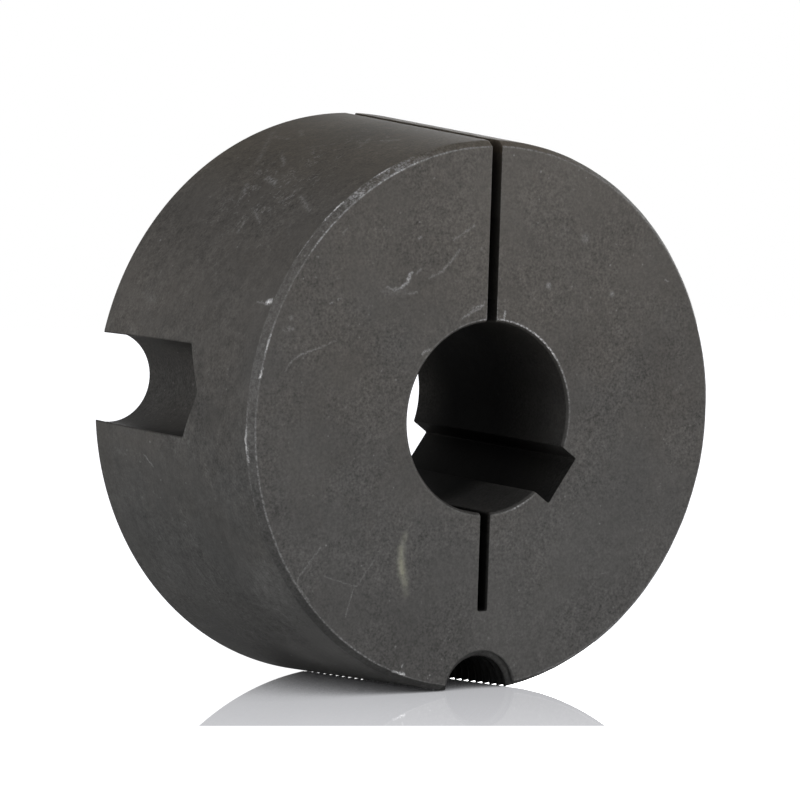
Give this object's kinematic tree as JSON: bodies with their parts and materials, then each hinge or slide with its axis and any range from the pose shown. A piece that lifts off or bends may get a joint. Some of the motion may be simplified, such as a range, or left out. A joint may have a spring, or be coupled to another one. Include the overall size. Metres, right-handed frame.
{
  "type": "taper bush",
  "caption": "Split taper bush with a through bore and keyway, tapered outside, two plain half-holes and a threaded jacking half-hole.",
  "frame": {"origin": "on the bore axis, in the plane of the large end face", "axes": "+Y along the bore axis out of the large end, so the small end faces -Y; +Z through the split; -Z through the relief slot and the threaded jacking half-hole; +X to the right when the small end is looked at"},
  "size_m": [0.1076, 0.0508, 0.1076],
  "materials": {
    "bush_iron": "dark grey phosphated and oiled cast iron, lightly scuffed"
  },
  "bodies": {
    "root": {"taper_bush": "bush_iron"}
  },
  "joints": []
}
